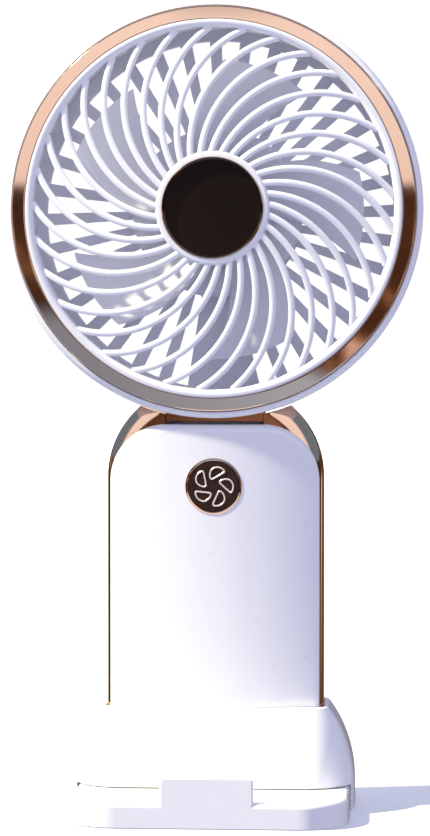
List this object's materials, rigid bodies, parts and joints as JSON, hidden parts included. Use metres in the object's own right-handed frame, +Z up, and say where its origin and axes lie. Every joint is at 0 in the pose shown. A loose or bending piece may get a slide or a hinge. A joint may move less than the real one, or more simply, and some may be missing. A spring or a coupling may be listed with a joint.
{
  "type": "handheld electric fan",
  "caption": "Handheld electric fan with a round grilled head on a flat handle, standing in a small dock that has a phone ledge.",
  "frame": {"origin": "on the floor under the middle of the handle, on the non-slip sheet of the dock", "axes": "+Z up along the handle, -Y towards the user (the grille side), +X to the right seen from the grille side"},
  "size_m": [0.1048, 0.06, 0.2034],
  "materials": {
    "white_plastic": "glossy white moulding",
    "rose_gold": "polished rose-gold plating",
    "dark_mirror": "near-black mirror",
    "dark_button": "glossy dark brown",
    "icon_silver": "pinkish silver",
    "grey_plastic": "satin light grey",
    "black_plastic": "satin",
    "steel": "bright steel",
    "magnet": "dark ferrite",
    "copper": "enamelled copper",
    "bronze": "sintered bronze",
    "board_green": "solder mask",
    "cell_wrap": "foil wrap",
    "rubber_grey": "non-slip rubber"
  },
  "bodies": {
    "base": {"base_shell": "white_plastic", "base_bottom_plate": "white_plastic", "base_foot_pad": "rubber_grey", "base_screws": "steel"},
    "ledge": {"phone_ledge": "white_plastic", "ledge_pads": "rubber_grey"},
    "handle": {"handle_frame": "rose_gold", "front_cover": "white_plastic", "rear_cover": "white_plastic", "handle_screws": "steel", "hinge_pin": "steel", "hinge_washers": "steel", "button_bezel": "rose_gold", "tact_switch": "black_plastic", "main_board": "board_green", "board_chips": "black_plastic", "battery_cell": "cell_wrap", "charge_board": "board_green", "usb_c_port": "steel", "usb_c_tongue": "black_plastic"},
    "button": {"power_button": "dark_button", "button_icon": "icon_silver"},
    "head": {"head_shell": "white_plastic", "neck_collar": "rose_gold", "front_grille": "white_plastic", "trim_ring": "rose_gold", "hub_bezel": "rose_gold", "hub_disc": "dark_mirror", "rear_grille": "grey_plastic", "motor_cover": "white_plastic", "motor_can": "steel", "motor_end_cap": "black_plastic", "motor_terminals": "bronze", "motor_brushes": "bronze", "motor_magnets": "magnet", "motor_bushes": "bronze", "motor_screws": "steel"},
    "rotor": {"impeller": "grey_plastic", "motor_shaft": "steel", "rotor_core": "steel", "rotor_windings": "copper", "commutator": "copper"}
  },
  "joints": [
    {"name": "dock_lift", "type": "slide", "parent": "base", "child": "handle", "axis": [0, 0, 1], "range_m": [0, 0.04]},
    {"name": "ledge_slide", "type": "slide", "parent": "base", "child": "ledge", "axis": [0, 1, 0], "range_m": [0, 0.017]},
    {"name": "head_tilt", "type": "hinge", "parent": "handle", "child": "head", "pos_m": [0, 0.006, 0.0922], "axis": [-1, 0, 0], "range_deg": [0, 90]},
    {"name": "impeller_spin", "type": "hinge", "parent": "head", "child": "rotor", "pos_m": [0, 0, 0.151], "axis": [0, 1, 0], "continuous": true},
    {"name": "button_press", "type": "slide", "parent": "handle", "child": "button", "axis": [0, 1, 0], "range_m": [0, 0.0006], "stiffness_N_per_m": 800}
  ]
}
